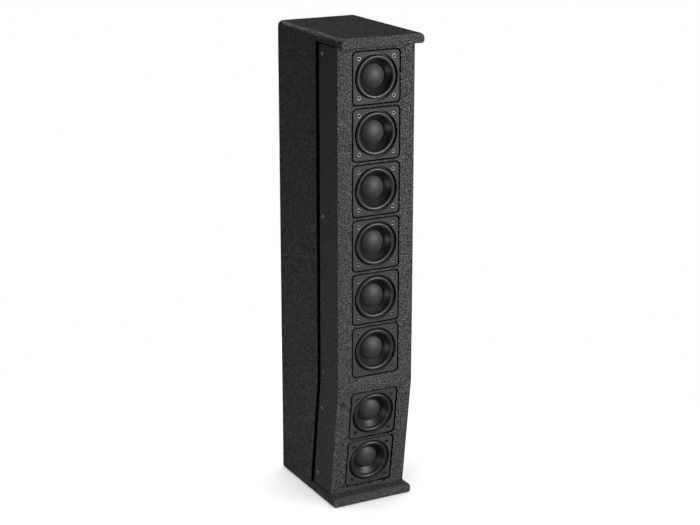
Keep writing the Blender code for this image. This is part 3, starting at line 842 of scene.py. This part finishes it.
def diaphragm_pieces(n):
    """Cone with its coil former, and the dust cap with its bead of glue."""
    body = f"diaphragm_{n}"
    steps = 12
    cone = []
    for t in (k / steps for k in range(steps + 1)):
        cone.append((CONE_RIM_R + (CONE_NECK_R - CONE_RIM_R) * t,
                     CONE_RIM + (CONE_NECK - CONE_RIM) * (t ** CONE_BOW)))
    coil = [(COIL_INNER_R, COIL_INNER_START), (COIL_INNER_R, COIL_END), (COIL_R, COIL_END),
            (COIL_R, COIL_START)]
    cone_back = [(r + PAPER_SHIFT, z + PAPER_THICK) for r, z in cone]
    bm = lathe(cone + coil + cone_back[::-1])
    bm.transform(PLACES[n])
    finish_piece(f"driver_{n}_cone", bm, CONE, body=body,
                 replaces=[f"driver_{n}_diaphragm"], smooth=40)
    rise = CAP_RIM - CAP_TOP
    sphere = (CAP_R**2 + rise**2) / (2 * rise)
    steps = 14
    cap = []
    for k in range(steps + 1):
        a = math.asin(CAP_R / sphere) * k / steps
        cap.append((sphere * math.sin(a), CAP_TOP + sphere * (1 - math.cos(a))))
    cap.append(CAP_GLUE)
    cap_back = [(max(0, r - PAPER_SHIFT), z + PAPER_THICK) for r, z in cap]
    bm = lathe(cap + cap_back[::-1], closed=False)
    bm.transform(PLACES[n])
    finish_piece(f"driver_{n}_dust_cap", bm, CAP, body=body, smooth=50)


def driver_screws(n):
    """The flange's four screws, each tightened to an angle of its own."""
    for k, (sx, sy) in enumerate(CORNERS, 1):
        bm = screw_head(**DRIVER_SCREW)
        seat = Matrix.Translation((sx * SCREW_OUT, sy * SCREW_OUT, SCREW_SEAT))
        bm.transform(PLACES[n] @ seat @ Matrix.Rotation(0.7 * k + n, 4, "Z"))
        finish_piece(f"driver_{n}_screw_{k}", bm, SCREW)


# ---------------------------------------------------------------- screws, rear plate, inside


def side_screws():
    for side, word in ((-1, "left"), (1, "right")):
        for k in range(1, 6):
            name = f"side_screw_{word}_{k}"
            low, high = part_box(name)
            face = side * (HALF_WIDTH - SET_IN)
            bm = screw_head(**SIDE_SCREW)
            centre = Vector((face, (low.y + high.y) / 2, (low.z + high.z) / 2))
            facing = Matrix.Rotation(-side * math.pi / 2, 4, "Y")
            bm.transform(Matrix.Translation(centre) @ facing)
            finish_piece(name + "_head", bm, BRIGHT_SCREW, replaces=[name])


FACING_BACK = Matrix.Rotation(math.pi / 2, 4, "X")


def connector_plate():
    """The metal panel in the rear board, with a hole for each socket and a screw in each corner."""
    low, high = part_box("connector_panel")
    bm = box(low, high)
    round_edges(bm, edges_along(bm, 1), PLATE_CORNER, 5)
    cutters = []
    for word in ("in", "link"):
        s_low, s_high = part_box(f"speaker_socket_{word}")
        centre = (s_low + s_high) / 2
        hole = plug(PLATE_HOLE_R, -10 * OUTSIDE, 10 * OUTSIDE)
        hole.transform(Matrix.Translation((centre.x, low.y, centre.z)) @ FACING_BACK)
        cutters.append(hole)
    bm = boolean_apply(bm, cutters)
    face = [e for e in bm.edges if all(abs(v.co.y - high.y) < SAME for v in e.verts)]
    round_edges(bm, face, PLATE_EASE, 2)
    finish_piece("connector_panel_skin", bm, PANEL, replaces=["connector_panel"],
                 weighted=True)
    middle, out_z = (low.z + high.z) / 2, (high.z - low.z) / 2 - PLATE_SCREW_IN
    for k, (sx, sz) in enumerate(CORNERS, 1):
        bm = screw_head(**PLATE_SCREW)
        centre = Vector((sx * (high.x - PLATE_SCREW_IN), high.y, middle + sz * out_z))
        bm.transform(Matrix.Translation(centre) @ FACING_BACK)
        finish_piece(f"connector_panel_screw_{k}", bm, DARK_SCREW)


def socket_shell():
    """A socket's mounting plate and barrel, with a ring-shaped mouth and its three key slots."""
    rim = [(0, SOCKET_THICK), (0, 0.0006), (0.0002, 0.0002), (0.0007, 0)]
    slab = loft([round_box(SOCKET_HALF_W - less, SOCKET_HALF_H - less, SOCKET_CORNER, depth, steps=6)
                 for less, depth in rim])
    bm = boolean_apply(slab, [plug(BARREL_R, BARREL_START, BARREL_END)], "UNION")
    core_top, ring_top = 0.001, 0.0006
    mouth = [(MOUTH_CORE_R, core_top), (MOUTH_CORE_R, MOUTH_END), (MOUTH_RING_R, MOUTH_END),
             (MOUTH_RING_R, ring_top), (MOUTH_RIM_R, -OUTSIDE), (0, -OUTSIDE), (0, core_top)]
    cutters = [lathe(mouth, steps=64, closed=False)]
    for k, width in enumerate(KEY_WIDTHS):
        key = box((KEY_FROM, -width / 2, -OUTSIDE), (KEY_TO, width / 2, KEY_END))
        key.transform(Matrix.Rotation(math.radians(90 + 120 * k), 4, "Z"))
        cutters.append(key)
    return boolean_apply(bm, cutters)


def socket_piece(word):
    """A speaker socket with its four contacts and two screws."""
    name = f"speaker_socket_{word}"
    low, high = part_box(name)
    centre = Vector(((low.x + high.x) / 2, high.y, (low.z + high.z) / 2))
    place = Matrix.Translation(centre) @ FACING_BACK
    bm = socket_shell()
    bm.transform(place)
    finish_piece(name + "_shell", bm, SOCKET, replaces=[name], weighted=True)
    for k in range(4):
        blade = box(BLADE_LOW, BLADE_HIGH)
        round_edges(blade, edges_along(blade, 2), BLADE_EASE, 2)
        blade.transform(place @ Matrix.Rotation(math.radians(45 + 90 * k), 4, "Z"))
        finish_piece(f"{name}_contact_{k + 1}", blade, CONTACT, smooth=40)
    for k, side in enumerate((-1, 1), 1):
        bm = screw_head(**SOCKET_SCREW)
        bm.transform(place @ Matrix.Translation((side * SOCKET_SCREW_X, -side * SOCKET_SCREW_Y, 0)))
        finish_piece(f"{name}_screw_{k}", bm, DARK_SCREW)


def repaint(node, mat):
    """Gives a CAD node a material of the scene's."""
    data = NODES[node].data
    data.materials.clear()
    data.materials.append(mat)


def inside():
    """What the closed cabinet hides keeps its CAD shape."""
    repaint("cross_brace", plywood_material())
    ferrite = metal_material("ferrite_look", grey(0.06), 0.5, metallic=0.3)
    for n in DRIVERS:
        repaint(f"driver_{n}_motor", ferrite)
    repaint("crossover_board", board_material())
    repaint("crossover_inductor", copper_material())
    repaint("crossover_capacitor", SOCKET)
    repaint("damping_mat", foam_material())
    repaint("input_cable", CABLE)
    repaint("driver_loom", CABLE)


# ---------------------------------------------------------------- studio


def place_lamp(obj, targets, targets_lit):
    """Links a lamp in, so that it lights only the targets, or everything but the targets."""
    bpy.context.scene.collection.objects.link(obj)
    linked = bpy.data.collections.new(obj.name + "_lit")
    for target in targets:
        linked.objects.link(target)
    if not targets_lit:
        for member in linked.collection_objects:
            member.light_linking.link_state = "EXCLUDE"
    obj.light_linking.receiver_collection = linked


def sun_light(name, azimuth, elevation, strength, spread, targets, targets_lit=False):
    """A distant soft lamp. Azimuth is counted from -Y towards +X, in degrees like the spread."""
    a, e = math.radians(azimuth), math.radians(elevation)
    away = Vector((math.sin(a) * math.cos(e), -math.cos(a) * math.cos(e), math.sin(e)))
    data = bpy.data.lights.new(name, "SUN")
    data.energy = strength
    data.angle = math.radians(spread)
    obj = bpy.data.objects.new(name, data)
    obj.location = away * SUN_AWAY
    obj.rotation_euler = away.to_track_quat("Z", "Y").to_euler()
    place_lamp(obj, targets, targets_lit)


def area_lamp(name, place, aim, power, size, targets):
    """A round soft lamp, which skips the targets. The power is in watts."""
    data = bpy.data.lights.new(name, "AREA")
    data.shape = "DISK"
    data.size = size
    data.energy = power
    obj = bpy.data.objects.new(name, data)
    obj.location = place
    obj.rotation_euler = (Vector(place) - Vector(aim)).to_track_quat("Z", "Y").to_euler()
    place_lamp(obj, targets, False)


def studio_piece(name, bm, mat):
    mesh = bpy.data.meshes.new(name)
    bm.to_mesh(mesh)
    bm.free()
    mesh.materials.append(mat)
    obj = bpy.data.objects.new(name, mesh)
    bpy.context.scene.collection.objects.link(obj)
    obj.visible_glossy = False
    return obj


def studio_floor():
    """A pale round floor, lit by a lamp of its own."""
    look = Nodes("floor_look", grey(0.86), 0.9, specular=0.1)
    look.colour(look.ramp(look.noise(2.0), grey(0.85), grey(0.87)))
    bm = bmesh.new()
    bmesh.ops.create_circle(bm, cap_ends=True, radius=FLOOR_RADIUS, segments=96)
    return studio_piece("floor", bm, look.mat)


def studio_backdrop():
    """A white sphere round everything, which only the camera sees."""
    bm = bmesh.new()
    bmesh.ops.create_uvsphere(bm, u_segments=64, v_segments=32, radius=BACKDROP_RADIUS)
    glow = bpy.data.materials.new("backdrop_glow")
    glow.use_nodes = True
    tree = glow.node_tree
    tree.nodes.remove(tree.nodes["Principled BSDF"])
    emission = tree.nodes.new("ShaderNodeEmission")
    tree.links.new(emission.outputs[0], tree.nodes["Material Output"].inputs["Surface"])
    backdrop = studio_piece("backdrop", bm, glow)
    backdrop.visible_diffuse = False
    backdrop.visible_transmission = False
    backdrop.visible_shadow = False
    return backdrop


def studio():
    """World, floor, backdrop and lamps. Only floor_lamp lights the floor."""
    scene = bpy.context.scene
    scene.view_settings.view_transform = "Standard"
    world = bpy.data.worlds.new("studio")
    world.use_nodes = True
    background = world.node_tree.nodes["Background"]
    background.inputs["Color"].default_value = (1, 1, 1, 1)
    background.inputs["Strength"].default_value = WORLD_STRENGTH
    scene.world = world
    floor = studio_floor()
    backdrop = studio_backdrop()
    # The left lamp makes the side panel bright and leaves the insides of the cones in shade.
    cones = [bpy.data.objects[f"driver_{n}_cone"] for n in DRIVERS]
    area_lamp("key", (0.89, -1.78, 0.98), (0.0, -0.1, 0.60), power=86, size=1.1, targets=[floor])
    area_lamp("low_left", (-0.80, -0.35, 0.06), (0.0, 0.0, 0.10), power=3.6, size=0.3,
              targets=[floor])
    area_lamp("back", (0.45, 1.35, 0.40), (0.0, 0.1, 0.36), power=9.0, size=0.6, targets=[floor])
    sun_light("top", 10, 70, strength=0.30, spread=60, targets=[floor])
    sun_light("left", -118, 30, strength=0.74, spread=50, targets=[floor] + cones)
    sun_light("rim", 174, 12, strength=0.34, spread=12, targets=[floor])
    sun_light("floor_lamp", 0, 90, strength=4.9, spread=179, targets=[floor], targets_lit=True)


def camera():
    data = bpy.data.cameras.new("camera")
    data.lens = CAMERA_LENS
    data.sensor_width = CAMERA_SENSOR
    obj = bpy.data.objects.new("camera", data)
    obj.location = CAMERA_PLACE
    obj.rotation_euler = (math.radians(90 - CAMERA_DOWN), 0, math.radians(CAMERA_TURN))
    bpy.context.scene.collection.objects.link(obj)
    bpy.context.scene.camera = obj


cabinet()
for number in DRIVERS:
    flange_piece(number)
    basket_piece(number)
    surround_pieces(number)
    diaphragm_pieces(number)
    driver_screws(number)
side_screws()
connector_plate()
for socket_word in ("in", "link"):
    socket_piece(socket_word)
inside()
studio()
camera()

bpy.context.view_layer.update()
